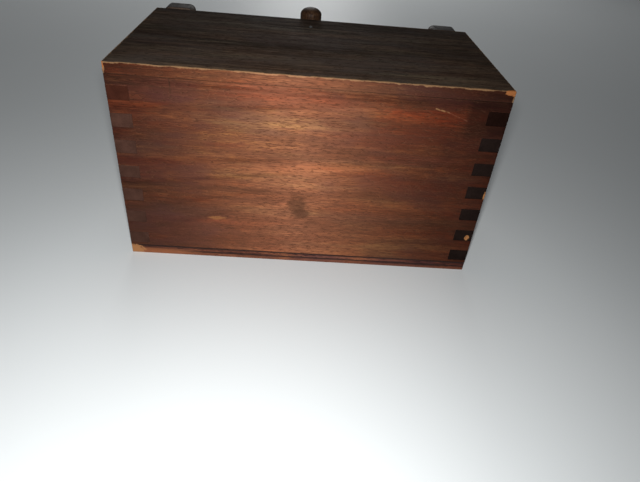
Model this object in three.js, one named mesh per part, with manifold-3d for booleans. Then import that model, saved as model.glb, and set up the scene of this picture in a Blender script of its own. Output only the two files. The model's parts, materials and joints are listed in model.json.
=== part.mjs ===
// Wooden espresso knock box: a finger-jointed case with a hinged lid, a knock bar across it
// and a front drawer that carries the bin for the spent coffee.
//
// Millimetres, +Z up. The origin is the middle of the case's underside. The front, with the
// drawer and the two stiles, faces +Y, and the plain finger-jointed back faces -Y.

import * as THREE from 'three';
import { mergeVertices } from 'three/addons/utils/BufferGeometryUtils.js';
import Module from 'manifold-3d';

const wasm = await Module();
wasm.setup();

// ---------------------------------------------------------------- driving dimensions

const CASE_WIDTH = 276;            // over the lid and the bottom panel
const CASE_DEPTH = 150;
const CASE_HEIGHT = 156;
const GAP = 0.3;                   // between faces that meet

const LID_THICKNESS = 8;
const BOTTOM_THICKNESS = 8;
const BOARD = 15;                  // back, sides, apron

const FINGER = 10;                 // height of one finger of the corner joints
const FIRST_FINGER = 10.5;         // underside of the side boards' lowest finger

const STILE_WIDTH = 25;
const STILE_DEPTH = 16.5;
const STILE_INSET = 6;             // from the case's side to the stile's outer edge
const STILE_SHOULDER = 5;          // radius of the stile's top corners
const LEFT_STILE_TOP = CASE_HEIGHT + 1.2;
const RIGHT_STILE_TOP = CASE_HEIGHT - 0.2;

const APRON_HEIGHT = 45;
const RAIL_TOP = 138;              // the lid's tongue passes over it
const FRONT_BOARD = 15;            // thickness of the top rail and the drawer front

const CENTRE = -2.4;               // the knobs, tongue and pin sit a little left of the middle
const TONGUE_WIDTH = 20;
const TONGUE_THICKNESS = 8;
const TONGUE_BACK = 30;
const TONGUE_CLEARANCE = 1;
const TONGUE_PIN_Y = 48;

const KNOB_RADIUS = 9.5;
const KNOB_HEIGHT = 16.1;
const KNOB_DOME = 6;
const KNOB_BAND = 5.8;
const KNOB_CLEARANCE = 0.5;        // from the lid's front edge to the knob

const HINGE_X = 90;
const HINGE_RADIUS = 5;
const HINGE_DEPTH_IN_BOX = 14;
const HINGE_DEPTH_IN_LID = 6;

const BAR_Z = 119;
const ROD_RADIUS = 5;
const SLEEVE_RADIUS = 13;
const SLEEVE_END_GAP = 1.2;
const SOCKET_RADIUS = 15;
const SOCKET_LENGTH = 8;
const SOCKET_FLOOR = 2;
const SOCKET_SCREW_OFFSET = 10.2;
const RUNNING_CLEARANCE = 0.4;

const DRAWER_TOP = 88;
const DRAWER_SIDE = 10;            // thickness of the drawer's sides and back
const DRAWER_FLOOR = 4;
const DRAWER_BACK_Y = -56;
const DRAWER_PLAY = 0.6;           // beside the drawer, and around its front
const DRAWER_SET_IN = 3;           // from a stile's inner edge to the drawer's side
const DRAWER_FRONT_BOTTOM = 1;
const DRAWER_KNOB_Z = 52;
const GUIDE_BEVEL = 14;            // drop of the guides' sloping tops, which end below the apron

const BIN_WALL = 0.9;
const BIN_CORNER = 14;
const BIN_TOP = 86;
const BIN_RIM = 2;                 // width and height of the rim
const BIN_PLAY = 1.2;              // between the rim and the drawer

const ROUND_SEGMENTS = 36;
const PIN_SEGMENTS = 12;

// ---------------------------------------------------------------- derived places

const LID_BOTTOM = CASE_HEIGHT - LID_THICKNESS;
const FRONT_Y = CASE_DEPTH / 2;
const BACK_Y = -CASE_DEPTH / 2;
const BACK_INNER_Y = BACK_Y + BOARD;
const APRON_INNER_Y = FRONT_Y - BOARD;
const SIDE_X = CASE_WIDTH / 2;
const SIDE_INNER_X = SIDE_X - BOARD;
const BOARD_BOTTOM = BOTTOM_THICKNESS + GAP;
const BOARD_TOP = LID_BOTTOM - GAP;
const APRON_BOTTOM = BOARD_TOP - APRON_HEIGHT;

const FRAME_Y = FRONT_Y + GAP;
const STILE_OUTER_X = CASE_WIDTH / 2 - STILE_INSET;
const STILE_INNER_X = STILE_OUTER_X - STILE_WIDTH;

const TONGUE_TOP = LID_BOTTOM - GAP;
const TONGUE_BOTTOM = TONGUE_TOP - TONGUE_THICKNESS;
const KNOB_Y = FRONT_Y + KNOB_CLEARANCE + KNOB_RADIUS;
const HINGE_Y = (BACK_Y + BACK_INNER_Y) / 2;

const DRAWER_X = STILE_INNER_X - DRAWER_SET_IN;
const DRAWER_INNER_X = DRAWER_X - DRAWER_SIDE;
const DRAWER_BOTTOM = BOARD_BOTTOM;
const DRAWER_FRONT_X = STILE_INNER_X - DRAWER_PLAY;
const GUIDE_X = DRAWER_X + DRAWER_PLAY;
const GUIDE_TOP = DRAWER_TOP + GUIDE_BEVEL;

// ---------------------------------------------------------------- finishes

const finish = (color, roughness, metalness = 0) =>
  new THREE.MeshStandardMaterial({ color, roughness, metalness });

const STAINED_WOOD = finish(0x7a452c, 0.45);
const LID_WOOD = finish(0x33291f, 0.42);
const FRAME_WOOD = finish(0x332b27, 0.45);
const KNOB_WOOD = finish(0x2c1c14, 0.25);
const PLYWOOD = finish(0x8a5a40, 0.55);
const PALE_WOOD = finish(0xb08458, 0.6);
const BIN_STEEL = finish(0xb9bbbd, 0.3, 1);
const ROD_STEEL = finish(0xa8aaad, 0.25, 1);
const SCREW_STEEL = finish(0x9a9a98, 0.35, 1);
const BRASS = finish(0xb08d4f, 0.35, 1);
const RUBBER = finish(0x1a1a1a, 0.8);
const BLACK_PLASTIC = finish(0x202020, 0.5);

// ---------------------------------------------------------------- shape helpers

function box(x0, x1, y0, y1, z0, z1) {
  const geometry = new THREE.BoxGeometry(x1 - x0, y1 - y0, z1 - z0);
  return geometry.translate((x0 + x1) / 2, (y0 + y1) / 2, (z0 + z1) / 2);
}

// An outline in X and Z, drawn out along Y.
function prismAlongY(shape, y0, y1) {
  const geometry = new THREE.ExtrudeGeometry(shape, { depth: y1 - y0, bevelEnabled: false });
  return geometry.rotateX(Math.PI / 2).translate(0, y1, 0);
}

// An outline in X and Y, drawn out along Z.
function prismAlongZ(shape, z0, z1) {
  const geometry = new THREE.ExtrudeGeometry(shape, { depth: z1 - z0, bevelEnabled: false });
  return geometry.translate(0, 0, z0);
}

// A profile of [radius, height] turned about the Z axis.
function turned(profile, segments = ROUND_SEGMENTS) {
  const points = profile.map(([radius, height]) => new THREE.Vector2(radius, height));
  return new THREE.LatheGeometry(points, segments).rotateX(Math.PI / 2);
}

const rod = (radius, length, segments = ROUND_SEGMENTS) =>
  turned([[0, 0], [radius, 0], [radius, length], [0, length]], segments);

function roundedRectangle(x0, x1, y0, y1, radius) {
  const shape = new THREE.Shape();
  shape.moveTo(x0 + radius, y0);
  shape.lineTo(x1 - radius, y0);
  shape.absarc(x1 - radius, y0 + radius, radius, -Math.PI / 2, 0);
  shape.absarc(x1 - radius, y1 - radius, radius, 0, Math.PI / 2);
  shape.absarc(x0 + radius, y1 - radius, radius, Math.PI / 2, Math.PI);
  shape.absarc(x0 + radius, y0 + radius, radius, Math.PI, 1.5 * Math.PI);
  return shape;
}

// ---------------------------------------------------------------- cutting and joining

function toSolid(geometry) {
  const bare = geometry.clone();
  bare.deleteAttribute('normal');
  bare.deleteAttribute('uv');
  const merged = mergeVertices(bare, 1e-4);
  return new wasm.Manifold(new wasm.Mesh({
    numProp: 3,
    vertProperties: new Float32Array(merged.attributes.position.array),
    triVerts: new Uint32Array(merged.index.array),
  }));
}

function toGeometry(solid) {
  const mesh = solid.getMesh();
  const geometry = new THREE.BufferGeometry();
  geometry.setAttribute('position', new THREE.BufferAttribute(mesh.vertProperties, 3));
  geometry.setIndex(new THREE.BufferAttribute(mesh.triVerts, 1));
  geometry.computeVertexNormals();
  return geometry;
}

const cut = (geometry, tools) =>
  toGeometry(tools.reduce((solid, tool) => solid.subtract(toSolid(tool)), toSolid(geometry)));

const join = (geometry, others) =>
  toGeometry(others.reduce((solid, other) => solid.add(toSolid(other)), toSolid(geometry)));

// ---------------------------------------------------------------- assembly

const model = new THREE.Group();

function add(name, geometry, material) {
  const mesh = new THREE.Mesh(geometry, material);
  mesh.name = name;
  model.add(mesh);
}

const SIDES = [['left', -1], ['right', 1]];

// The ends of a span that lies on one side of the middle, in rising order.
const mirrored = (side, near, far) => (side < 0 ? [-far, -near] : [near, far]);

// ---------------------------------------------------------------- fasteners and their holes

// Nails up through the bottom panel into the boards.
const NAIL = { headRadius: 1.7, headHeight: 1, shankRadius: 0.9, length: 24, inset: 0.2 };
const nailPlaces = [
  ...[-100, -35, 35, 100].map((x) => [x, HINGE_Y]),
  ...[-25, 40].flatMap((y) => SIDES.map(([, side]) => [side * (SIDE_X - BOARD / 2), y])),
];

function nail(grow = 0) {
  const { headRadius, headHeight, shankRadius, length, inset } = NAIL;
  const start = inset - grow;
  return turned([
    [0, start],
    [headRadius + grow, start],
    [headRadius + grow, inset + headHeight + grow],
    [shankRadius + grow, inset + headHeight + grow],
    [shankRadius + grow, inset + length + grow],
    [0, inset + length + grow],
  ], PIN_SEGMENTS);
}

const nailHoles = nailPlaces.map(([x, y]) => nail(GAP).translate(x, y, 0));

// A countersunk wood screw whose head lies flush at height 0 and whose shank points up.
function screw(headRadius, shankRadius, length, grow = 0) {
  return turned([
    [0, -grow],
    [headRadius + grow, -grow],
    [headRadius + grow, 0.4],
    [shankRadius + grow, headRadius - shankRadius + 0.4],
    [shankRadius + grow, length + grow],
    [0, length + grow],
  ], PIN_SEGMENTS);
}

// ---------------------------------------------------------------- case

// Heights of the fingers of the side boards, which show on the back and on the apron.
function fingers() {
  const spans = [];
  for (let z = FIRST_FINGER; z + FINGER < BOARD_TOP; z += 2 * FINGER) {
    spans.push([z, z + FINGER]);
  }
  return spans;
}

// Heights between those fingers, which the fingers of the back and the apron fill.
function fingerGaps() {
  const edges = [BOARD_BOTTOM - GAP, ...fingers().flat(), BOARD_TOP + GAP];
  const spans = [];
  for (let i = 0; i < edges.length; i += 2) {
    spans.push([edges[i], edges[i + 1]]);
  }
  return spans;
}

// Cuts at both ends of a board that faces +Y or -Y, where the side boards' fingers go in.
const fingerCuts = (y0, y1) => fingers().flatMap(([low, high]) => SIDES.map(([, side]) => {
  const [x0, x1] = mirrored(side, SIDE_INNER_X - GAP, SIDE_X + GAP);
  return box(x0, x1, y0 - GAP, y1 + GAP, low - GAP, high + GAP);
}));

function addBottomPanel() {
  const halfWidth = CASE_WIDTH / 2;
  const panel = box(-halfWidth, halfWidth, -CASE_DEPTH / 2, FRONT_Y, 0, BOTTOM_THICKNESS);
  add('bottom_panel', cut(panel, nailHoles), PLYWOOD);
  nailPlaces.forEach(([x, y], i) => {
    add(`bottom_nail_${i + 1}`, nail().translate(x, y, 0), SCREW_STEEL);
  });
}

function socketScrewHoles(wallY, direction) {
  return SIDES.map(([, side]) => socketScrew(wallY, direction, side, GAP));
}

function addBackBoard() {
  const board = box(-SIDE_X, SIDE_X, BACK_Y, BACK_INNER_Y, BOARD_BOTTOM, BOARD_TOP);
  const hingeHoles = SIDES.map(([, side]) => hingeBarrel(side, BOARD_TOP - HINGE_DEPTH_IN_BOX,
    HINGE_DEPTH_IN_BOX, GAP));
  const holes = [...nailHoles, ...hingeHoles, ...socketScrewHoles(BACK_INNER_Y, 1)];
  add('back_board', cut(board, [...fingerCuts(BACK_Y, BACK_INNER_Y), ...holes]), STAINED_WOOD);
}

function addSideBoards() {
  for (const [name, side] of SIDES) {
    const [x0, x1] = mirrored(side, SIDE_INNER_X, SIDE_X);
    const board = box(x0, x1, BACK_Y, FRONT_Y, BOARD_BOTTOM, BOARD_TOP);
    const backCuts = fingerGaps().map(([low, high]) =>
      box(x0 - GAP, x1 + GAP, BACK_Y - GAP, BACK_INNER_Y + GAP, low, high));
    const apronCuts = fingerGaps()
      .map(([low, high]) => [Math.max(low, APRON_BOTTOM - GAP), high])
      .filter(([low, high]) => high > low)
      .map(([low, high]) =>
        box(x0 - GAP, x1 + GAP, APRON_INNER_Y - GAP, FRONT_Y + GAP, low, high));
    add(`${name}_side_board`, cut(board, [...backCuts, ...apronCuts, ...nailHoles]), STAINED_WOOD);
  }
}

// The board above the drawer opening, with a notch that the lid's tongue lies in.
function addApron() {
  const board = box(-SIDE_X, SIDE_X, APRON_INNER_Y, FRONT_Y, APRON_BOTTOM, BOARD_TOP);
  const reach = TONGUE_WIDTH / 2 + TONGUE_CLEARANCE;
  const notch = box(CENTRE - reach, CENTRE + reach, APRON_INNER_Y - GAP, FRONT_Y + GAP,
    TONGUE_BOTTOM - TONGUE_CLEARANCE, BOARD_TOP + GAP);
  const cuts = [...fingerCuts(APRON_INNER_Y, FRONT_Y), notch];
  add('front_apron', cut(board, [...cuts, ...socketScrewHoles(APRON_INNER_Y, -1)]), STAINED_WOOD);
}

// Flat posts on the front that flank the drawer, with rounded shoulders.
function addStiles() {
  for (const [name, side] of SIDES) {
    const [x0, x1] = mirrored(side, STILE_INNER_X, STILE_OUTER_X);
    const top = side < 0 ? LEFT_STILE_TOP : RIGHT_STILE_TOP;
    const shape = new THREE.Shape();
    shape.moveTo(x0, 0);
    shape.lineTo(x1, 0);
    shape.lineTo(x1, top - STILE_SHOULDER);
    shape.absarc(x1 - STILE_SHOULDER, top - STILE_SHOULDER, STILE_SHOULDER, 0, Math.PI / 2);
    shape.absarc(x0 + STILE_SHOULDER, top - STILE_SHOULDER, STILE_SHOULDER, Math.PI / 2, Math.PI);
    add(`${name}_stile`, prismAlongY(shape, FRAME_Y, FRAME_Y + STILE_DEPTH), FRAME_WOOD);
  }
}

function addTopRail() {
  const halfWidth = STILE_INNER_X - GAP;
  const rail = box(-halfWidth, halfWidth, FRAME_Y, FRAME_Y + FRONT_BOARD, APRON_BOTTOM, RAIL_TOP);
  add('top_rail', rail, FRAME_WOOD);
}

// Boards inside the sides that steer the drawer. Their sloping tops shed the grounds into it,
// and their front ends stop the drawer front.
function addDrawerGuides() {
  const outer = SIDE_INNER_X - GAP;
  for (const [name, side] of SIDES) {
    const shape = new THREE.Shape();
    shape.moveTo(side * GUIDE_X, BOARD_BOTTOM);
    shape.lineTo(side * outer, BOARD_BOTTOM);
    shape.lineTo(side * outer, GUIDE_TOP);
    shape.lineTo(side * GUIDE_X, DRAWER_TOP);
    const guide = prismAlongY(shape, BACK_INNER_Y + GAP, FRONT_Y);
    add(`${name}_drawer_guide`, guide, STAINED_WOOD);
  }
}

// ---------------------------------------------------------------- knock bar

const SOCKET_SCREW = { headRadius: 2.6, radius: 1.4, length: 17 };

// A screw that holds a bar socket to the wall at wallY. direction points from the wall
// into the box.
function socketScrew(wallY, direction, side, grow = 0) {
  const geometry = screw(SOCKET_SCREW.headRadius, SOCKET_SCREW.radius, SOCKET_SCREW.length, grow);
  geometry.rotateX(direction > 0 ? Math.PI / 2 : -Math.PI / 2);
  const headY = wallY + direction * SOCKET_LENGTH;
  return geometry.translate(side * SOCKET_SCREW_OFFSET, headY, BAR_Z);
}

function addBarSockets() {
  const walls = [['back', BACK_INNER_Y, 1], ['front', APRON_INNER_Y, -1]];
  for (const [name, wallY, direction] of walls) {
    const boreRadius = ROD_RADIUS + RUNNING_CLEARANCE;
    const cup = turned([
      [0, 0],
      [SOCKET_RADIUS - 1, 0],
      [SOCKET_RADIUS, 1],
      [SOCKET_RADIUS, SOCKET_LENGTH - 1],
      [SOCKET_RADIUS - 1, SOCKET_LENGTH],
      [boreRadius, SOCKET_LENGTH],
      [boreRadius, SOCKET_FLOOR],
      [0, SOCKET_FLOOR],
    ]);
    cup.rotateX(direction > 0 ? -Math.PI / 2 : Math.PI / 2);
    cup.translate(0, wallY + direction * GAP, BAR_Z);
    const socket = cut(cup, socketScrewHoles(wallY, direction));
    add(`bar_socket_${name}`, socket, BLACK_PLASTIC);
    for (const [sideName, side] of SIDES) {
      add(`bar_socket_screw_${name}_${sideName}`, socketScrew(wallY, direction, side), SCREW_STEEL);
    }
  }
}

function addKnockBar() {
  const endGap = GAP + SOCKET_FLOOR + RUNNING_CLEARANCE;
  const rodStart = BACK_INNER_Y + endGap;
  const rodLength = APRON_INNER_Y - endGap - rodStart;
  const alongY = (geometry, y) => geometry.rotateX(-Math.PI / 2).translate(0, y, BAR_Z);
  add('bar_rod', alongY(rod(ROD_RADIUS, rodLength), rodStart), ROD_STEEL);

  const sleeveInset = GAP + SOCKET_LENGTH + SLEEVE_END_GAP;
  const sleeveStart = BACK_INNER_Y + sleeveInset;
  const sleeveLength = APRON_INNER_Y - sleeveInset - sleeveStart;
  const bore = ROD_RADIUS + GAP;
  const round = 2;
  const sleeve = turned([
    [bore, 0],
    [SLEEVE_RADIUS - round, 0],
    [SLEEVE_RADIUS, round],
    [SLEEVE_RADIUS, sleeveLength - round],
    [SLEEVE_RADIUS - round, sleeveLength],
    [bore, sleeveLength],
    [bore, 0],
  ]);
  add('bar_sleeve', alongY(sleeve, sleeveStart), RUBBER);
}

// ---------------------------------------------------------------- knobs

const KNOB_SCREW = { headRadius: 3.6, radius: 2, bite: 9 };

// The screw of a knob, with its head flush at height 0 behind a board of this thickness.
const knobScrew = (thickness, grow = 0) =>
  screw(KNOB_SCREW.headRadius, KNOB_SCREW.radius, thickness + GAP + KNOB_SCREW.bite, grow);

// A squat turned knob that stands on height 0, with a blind hole for its screw.
function knob() {
  const bandTop = KNOB_HEIGHT - KNOB_DOME;
  const bandBottom = bandTop - KNOB_BAND;
  const dome = [];
  const steps = 8;
  for (let i = 1; i < steps; i += 1) {
    const angle = (i / steps) * (Math.PI / 2);
    dome.push([KNOB_RADIUS * Math.cos(angle), bandTop + KNOB_DOME * Math.sin(angle)]);
  }
  const body = turned([
    [0, 0],
    [8, 0],
    [8, 1.2],
    [6.4, 2.4],
    [6.6, bandBottom - 1],
    [KNOB_RADIUS, bandBottom],
    [KNOB_RADIUS, bandTop],
    ...dome,
    [0, KNOB_HEIGHT],
  ]);
  const hole = rod(KNOB_SCREW.radius + GAP, KNOB_SCREW.bite + 2 * GAP, PIN_SEGMENTS);
  return cut(body, [hole.translate(0, 0, -GAP)]);
}

// ---------------------------------------------------------------- lid

// One barrel of a concealed hinge: the lower one in the back board, the upper one in the lid.
function hingeBarrel(side, z, depth, grow = 0) {
  const barrel = rod(HINGE_RADIUS + grow, depth + 2 * grow);
  return barrel.translate(side * HINGE_X, HINGE_Y, z - grow);
}

// The round-headed pin that fastens the tongue under the lid.
function tonguePin(grow = 0) {
  const headRadius = 1.6;
  const headHeight = 0.9;
  const shankRadius = 0.9;
  const length = 14;
  return turned([
    [0, -length - grow],
    [shankRadius + grow, -length - grow],
    [shankRadius + grow, GAP],
    [headRadius, GAP],
    [headRadius * 0.8, GAP + headHeight * 0.6],
    [headRadius * 0.4, GAP + headHeight * 0.93],
    [0, GAP + headHeight],
  ], PIN_SEGMENTS).translate(CENTRE, TONGUE_PIN_Y, CASE_HEIGHT);
}

function addLid() {
  const halfWidth = CASE_WIDTH / 2;
  const panel = box(-halfWidth, halfWidth, -CASE_DEPTH / 2, FRONT_Y, LID_BOTTOM, CASE_HEIGHT);
  const hingeHoles = SIDES.map(([, side]) =>
    hingeBarrel(side, LID_BOTTOM, HINGE_DEPTH_IN_LID, GAP));
  add('lid', cut(panel, [...hingeHoles, tonguePin(GAP)]), LID_WOOD);

  for (const [name, side] of SIDES) {
    add(`hinge_barrel_lid_${name}`, hingeBarrel(side, LID_BOTTOM, HINGE_DEPTH_IN_LID), BRASS);
    add(`hinge_barrel_box_${name}`,
      hingeBarrel(side, BOARD_TOP - HINGE_DEPTH_IN_BOX, HINGE_DEPTH_IN_BOX), BRASS);
  }
}

// The tongue under the lid that carries its knob in front of the box.
function addTongue() {
  const radius = TONGUE_WIDTH / 2;
  const shape = new THREE.Shape();
  shape.moveTo(CENTRE - radius, TONGUE_BACK);
  shape.lineTo(CENTRE + radius, TONGUE_BACK);
  shape.lineTo(CENTRE + radius, KNOB_Y);
  shape.absarc(CENTRE, KNOB_Y, radius, 0, Math.PI);
  const tongue = prismAlongZ(shape, TONGUE_BOTTOM, TONGUE_TOP);
  const screwHole = knobScrew(TONGUE_THICKNESS, GAP).translate(CENTRE, KNOB_Y, TONGUE_BOTTOM);
  add('lid_tongue', cut(tongue, [screwHole, tonguePin(GAP)]), LID_WOOD);
  add('lid_tongue_pin', tonguePin(), SCREW_STEEL);
  add('lid_knob', knob().translate(CENTRE, KNOB_Y, TONGUE_TOP + GAP), KNOB_WOOD);
  add('lid_knob_screw', knobScrew(TONGUE_THICKNESS).translate(CENTRE, KNOB_Y, TONGUE_BOTTOM),
    SCREW_STEEL);
}

// ---------------------------------------------------------------- drawer

const DOWEL = { radius: 3, length: 24, heights: [30, 70] };

const dowel = (x, z, grow = 0) =>
  rod(DOWEL.radius + grow, DOWEL.length + 2 * grow, PIN_SEGMENTS)
    .rotateX(-Math.PI / 2)
    .translate(x, FRONT_Y - DOWEL.length / 2 - grow, z);

const dowelPlaces = SIDES.flatMap(([, side]) =>
  DOWEL.heights.map((z) => [side * (DRAWER_X - DRAWER_SIDE / 2), z]));

const dowelHoles = dowelPlaces.map(([x, z]) => dowel(x, z, GAP));

function addDrawerFront() {
  const top = APRON_BOTTOM - DRAWER_PLAY;
  const board = box(-DRAWER_FRONT_X, DRAWER_FRONT_X, FRAME_Y, FRAME_Y + FRONT_BOARD,
    DRAWER_FRONT_BOTTOM, top);
  const facingFront = (geometry, y) =>
    geometry.rotateX(-Math.PI / 2).translate(CENTRE, y, DRAWER_KNOB_Z);
  const screwHole = facingFront(knobScrew(FRONT_BOARD, GAP), FRAME_Y);
  add('drawer_front', cut(board, [...dowelHoles, screwHole]), FRAME_WOOD);
  add('drawer_knob', facingFront(knob(), FRAME_Y + FRONT_BOARD + GAP), KNOB_WOOD);
  add('drawer_knob_screw', facingFront(knobScrew(FRONT_BOARD), FRAME_Y), SCREW_STEEL);
}

function addDrawerBox() {
  for (const [name, side] of SIDES) {
    const [x0, x1] = mirrored(side, DRAWER_INNER_X, DRAWER_X);
    const board = box(x0, x1, DRAWER_BACK_Y, FRONT_Y, DRAWER_BOTTOM, DRAWER_TOP);
    add(`drawer_${name}_side`, cut(board, dowelHoles), PALE_WOOD);
  }
  const halfWidth = DRAWER_INNER_X - GAP;
  const backInnerY = DRAWER_BACK_Y + DRAWER_SIDE;
  add('drawer_back',
    box(-halfWidth, halfWidth, DRAWER_BACK_Y, backInnerY, DRAWER_BOTTOM, DRAWER_TOP), PALE_WOOD);
  add('drawer_bottom',
    box(-halfWidth, halfWidth, backInnerY + GAP, FRONT_Y,
      DRAWER_BOTTOM, DRAWER_BOTTOM + DRAWER_FLOOR), PALE_WOOD);
  dowelPlaces.forEach(([x, z], i) => add(`drawer_dowel_${i + 1}`, dowel(x, z), PALE_WOOD));
}

// The loose steel bin in the drawer: a straight-sided pan with rounded corners and a rim.
function addGroundsBin() {
  const rimX = DRAWER_INNER_X - BIN_PLAY;
  const rimBack = DRAWER_BACK_Y + DRAWER_SIDE + BIN_PLAY;
  const rimFront = FRONT_Y - BIN_PLAY;
  const floorZ = DRAWER_BOTTOM + DRAWER_FLOOR + GAP;
  const outline = (inset) => roundedRectangle(-rimX + inset, rimX - inset,
    rimBack + inset, rimFront - inset, BIN_CORNER - inset);
  const pan = prismAlongZ(outline(BIN_RIM), floorZ, BIN_TOP);
  const rim = prismAlongZ(outline(0), BIN_TOP - BIN_RIM, BIN_TOP);
  const hollow = prismAlongZ(outline(BIN_RIM + BIN_WALL), floorZ + BIN_WALL, BIN_TOP + GAP);
  add('grounds_bin', cut(join(pan, [rim]), [hollow]), BIN_STEEL);
}

addBottomPanel();
addBackBoard();
addSideBoards();
addApron();
addStiles();
addTopRail();
addDrawerGuides();
addBarSockets();
addKnockBar();
addLid();
addTongue();
addDrawerFront();
addDrawerBox();
addGroundsBin();

export default model;
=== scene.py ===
"""The looks of a wooden espresso knock box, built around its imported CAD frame.

Metres, +Z up. The plain finger-jointed back faces -Y and the front, with the drawer, +Y.
"""

import json
import math

import bmesh
import bpy
from mathutils import Matrix, Vector, noise


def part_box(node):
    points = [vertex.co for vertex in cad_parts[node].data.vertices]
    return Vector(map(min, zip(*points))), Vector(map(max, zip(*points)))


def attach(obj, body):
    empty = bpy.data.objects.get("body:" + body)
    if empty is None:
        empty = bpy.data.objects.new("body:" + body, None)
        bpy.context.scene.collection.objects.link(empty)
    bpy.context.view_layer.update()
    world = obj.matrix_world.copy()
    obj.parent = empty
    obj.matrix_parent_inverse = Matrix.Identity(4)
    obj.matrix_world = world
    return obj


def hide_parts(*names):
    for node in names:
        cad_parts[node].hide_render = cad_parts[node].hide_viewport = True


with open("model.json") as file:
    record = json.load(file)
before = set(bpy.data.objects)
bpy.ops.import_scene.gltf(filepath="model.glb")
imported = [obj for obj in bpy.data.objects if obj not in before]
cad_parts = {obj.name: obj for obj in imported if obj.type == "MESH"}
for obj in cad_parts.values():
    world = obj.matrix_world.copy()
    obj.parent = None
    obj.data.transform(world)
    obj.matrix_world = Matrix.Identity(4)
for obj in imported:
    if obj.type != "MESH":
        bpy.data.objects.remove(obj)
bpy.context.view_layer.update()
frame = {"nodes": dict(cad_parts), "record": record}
MM = 0.001

RECORD = frame["record"]
BODY_OF = {node: body for body, nodes in RECORD["behaviour"]["bodies"].items() for node in nodes}


def box_of(node):
    """A node's lowest and highest corners, as vectors."""
    low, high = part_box(node)
    return Vector(low), Vector(high)


# ---- the case's main sizes

LID_LOW, LID_HIGH = box_of("lid")
PLY_LOW, PLY_HIGH = box_of("bottom_panel")
BACK_LOW, BACK_HIGH = box_of("back_board")
WIDTH = LID_HIGH.x - LID_LOW.x
HEIGHT = LID_HIGH.z - PLY_LOW.z
SIDES = {"left": -1, "right": 1}


# ---- shader building

class Shader:
    """A node material under construction. Most calls return an output socket."""

    def __init__(self, name):
        self.material = bpy.data.materials.new(name)
        self.material.use_nodes = True
        self.tree = self.material.node_tree
        self.bsdf = self.tree.nodes["Principled BSDF"]
        coordinates = self.tree.nodes.new("ShaderNodeTexCoord")
        self.place = coordinates.outputs["Object"]
        self.facing = coordinates.outputs["Normal"]

    def node(self, kind, inputs, output=0, **settings):
        node = self.tree.nodes.new(kind)
        for key, value in settings.items():
            setattr(node, key, value)
        for key, value in inputs.items():
            if isinstance(value, bpy.types.NodeSocket):
                self.tree.links.new(value, node.inputs[key])
            else:
                node.inputs[key].default_value = value
        return node.outputs[output]

    def math(self, operation, a, b=0.0, clamp=False):
        return self.node("ShaderNodeMath", {0: a, 1: b}, operation=operation, use_clamp=clamp)

    def vector(self, operation, a, b=(0, 0, 0), output=0):
        return self.node("ShaderNodeVectorMath", {0: a, 1: b}, output, operation=operation)

    def parts(self, vector):
        split = self.tree.nodes.new("ShaderNodeSeparateXYZ")
        self.tree.links.new(vector, split.inputs[0])
        return list(split.outputs)

    def step(self, value, low, high):
        """0 below low, 1 above high, smooth between. low may be the larger one."""
        inputs = {"Value": value, "From Min": low, "From Max": high}
        return self.node("ShaderNodeMapRange", inputs, interpolation_type="SMOOTHSTEP")

    def span(self, value, to_low, to_high, low=0.0, high=1.0):
        inputs = {"Value": value, "From Min": low, "From Max": high,
                  "To Min": to_low, "To Max": to_high}
        return self.node("ShaderNodeMapRange", inputs)

    def mix(self, amount, a, b, blend="MIX"):
        return self.node("ShaderNodeMix", {0: amount, 6: a, 7: b}, 2,
                         data_type="RGBA", blend_type=blend)

    def noise(self, per_metre, detail=2.0, roughness=0.5, seed=0.0, distortion=0.0):
        """Noise over the piece. per_metre is how many features a metre holds, alike along X, Y
        and Z or as three counts."""
        counts = per_metre if isinstance(per_metre, tuple) else (per_metre,) * 3
        scaled = self.vector("MULTIPLY", self.place, counts)
        moved = self.vector("ADD", scaled, (seed * 7.3, seed * 3.1, seed * 5.7))
        inputs = {"Vector": moved, "Scale": 1.0, "Detail": detail, "Roughness": roughness,
                  "Distortion": distortion}
        return self.node("ShaderNodeTexNoise", inputs)

    def ramp(self, value, stops):
        ramp = self.tree.nodes.new("ShaderNodeValToRGB")
        self.tree.links.new(value, ramp.inputs[0])
        elements = ramp.color_ramp.elements
        while len(elements) < len(stops):
            elements.new(1.0)
        for element, (position, colour) in zip(elements, stops):
            element.position = position
            element.color = colour
        return ramp.outputs[0]

    def bump(self, height, distance, strength=1.0, under=None):
        inputs = {"Height": height, "Distance": distance, "Strength": strength}
        if under is not None:
            inputs["Normal"] = under
        return self.node("ShaderNodeBump", inputs)

    def blob(self, centre, radii, soft, wobble):
        """1 inside an ellipsoid, fading to 0 over soft of its size, with a ragged outline."""
        offset = self.vector("SUBTRACT", self.place, tuple(centre))
        scaled = self.vector("MULTIPLY", offset, tuple(1 / radius for radius in radii))
        distance = self.math("ADD", self.vector("LENGTH", scaled, output=1), wobble)
        return self.step(distance, 1 + soft, 1)

    def arris(self, low, high):
        """Distance to the nearest edge of a box, for a point on one of its faces."""
        below = self.parts(self.vector("SUBTRACT", self.place, tuple(low)))
        above = self.parts(self.vector("SUBTRACT", tuple(high), self.place))
        nearest = [self.math("MINIMUM", a, b) for a, b in zip(below, above)]
        total = self.math("ADD", self.math("ADD", nearest[0], nearest[1]), nearest[2])
        greatest = self.math("MAXIMUM", self.math("MAXIMUM", nearest[0], nearest[1]), nearest[2])
        return self.math("SUBTRACT", total, greatest)

    def finish(self, colour, roughness, normal=None, **sockets):
        """Links the surface and sets the uniform sockets."""
        for socket, value in (("Base Color", colour), ("Roughness", roughness)):
            if isinstance(value, bpy.types.NodeSocket):
                self.tree.links.new(value, self.bsdf.inputs[socket])
            else:
                self.bsdf.inputs[socket].default_value = value
        if normal is not None:
            self.tree.links.new(normal, self.bsdf.inputs["Normal"])
        for socket, value in sockets.items():
            self.bsdf.inputs[socket.replace("_", " ")].default_value = value
        return self.material


def rgb(red, green, blue):
    return (red, green, blue, 1.0)


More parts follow.
